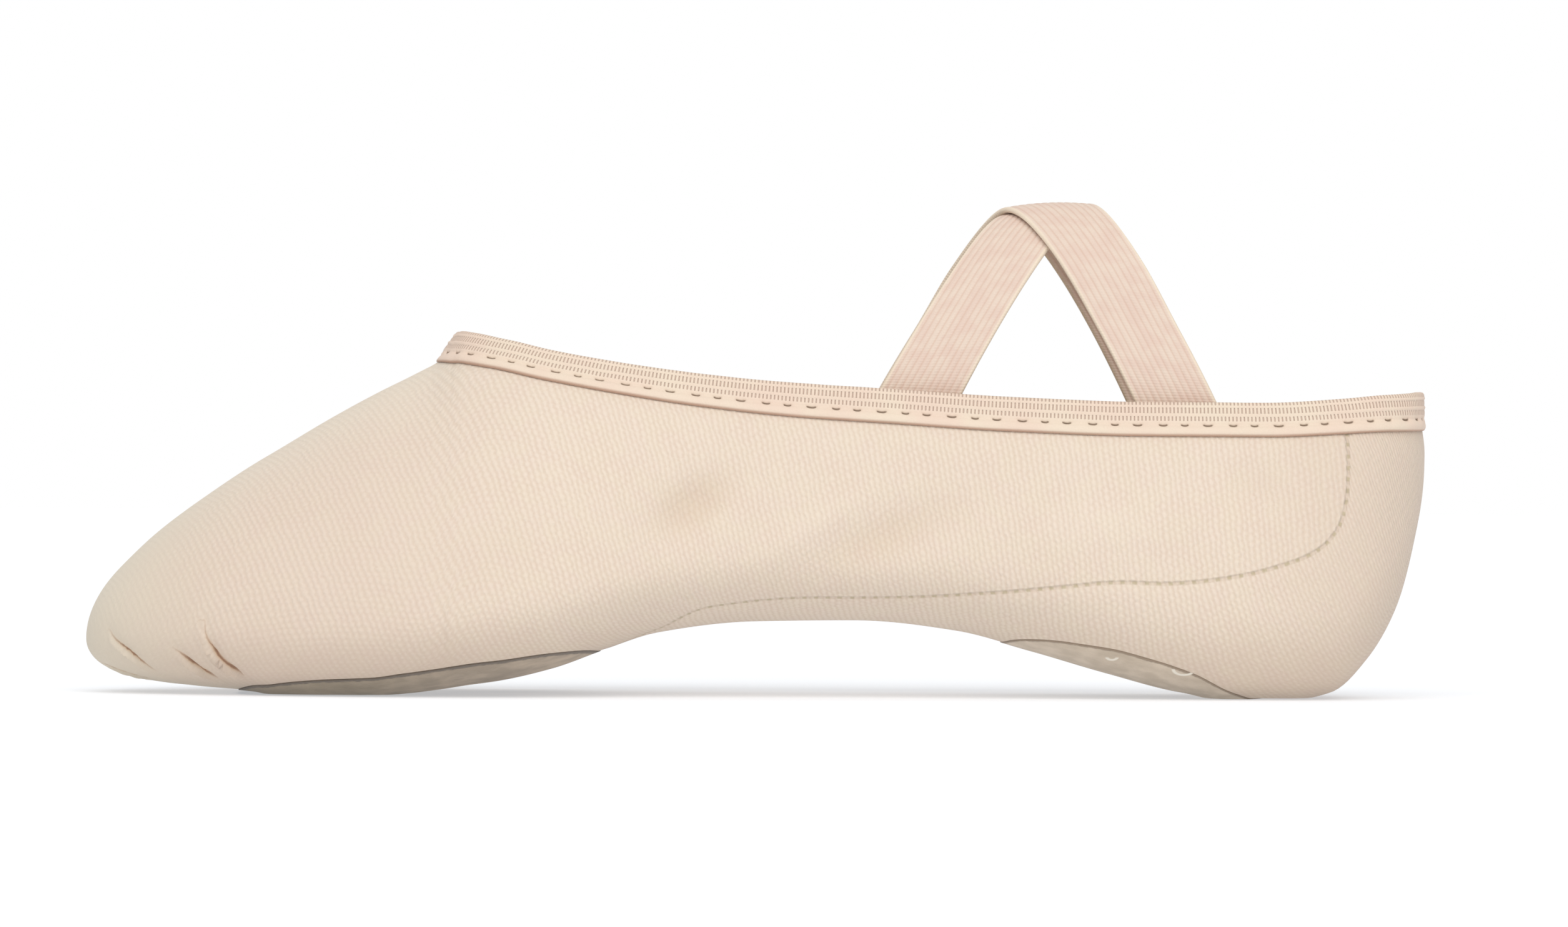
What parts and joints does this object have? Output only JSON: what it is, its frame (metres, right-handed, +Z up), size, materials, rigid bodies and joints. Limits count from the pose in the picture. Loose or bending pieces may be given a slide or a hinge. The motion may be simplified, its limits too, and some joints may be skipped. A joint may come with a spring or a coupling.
{
  "type": "ballet slipper",
  "caption": "Soft split-sole ballet slipper of stretch canvas, with a folded elastic binding round the collar and two elastic straps crossed over the instep.",
  "frame": {"origin": "on the floor, under the middle of the slipper's box", "axes": "-X towards the toe and +X towards the heel, +Z up from the floor that the sole stands on, Y across the slipper"},
  "size_m": [0.2408, 0.076, 0.0887],
  "materials": {
    "canvas": "matt stretch-cotton canvas, fine twill weave, flesh pink",
    "binding": "ribbed folded elastic with a row of stitches, soft sheen",
    "suede": "matt split suede, taupe",
    "insole": "matt cotton over thin foam",
    "strap_elastic": "flat elastic with fine lengthwise ribs"
  },
  "bodies": {
    "root": {"upper": "canvas", "binding": "binding", "forefoot_sole": "suede", "heel_sole": "suede", "forefoot_insole": "insole", "heel_insole": "insole", "front_strap": "strap_elastic", "rear_strap": "strap_elastic"}
  },
  "joints": []
}
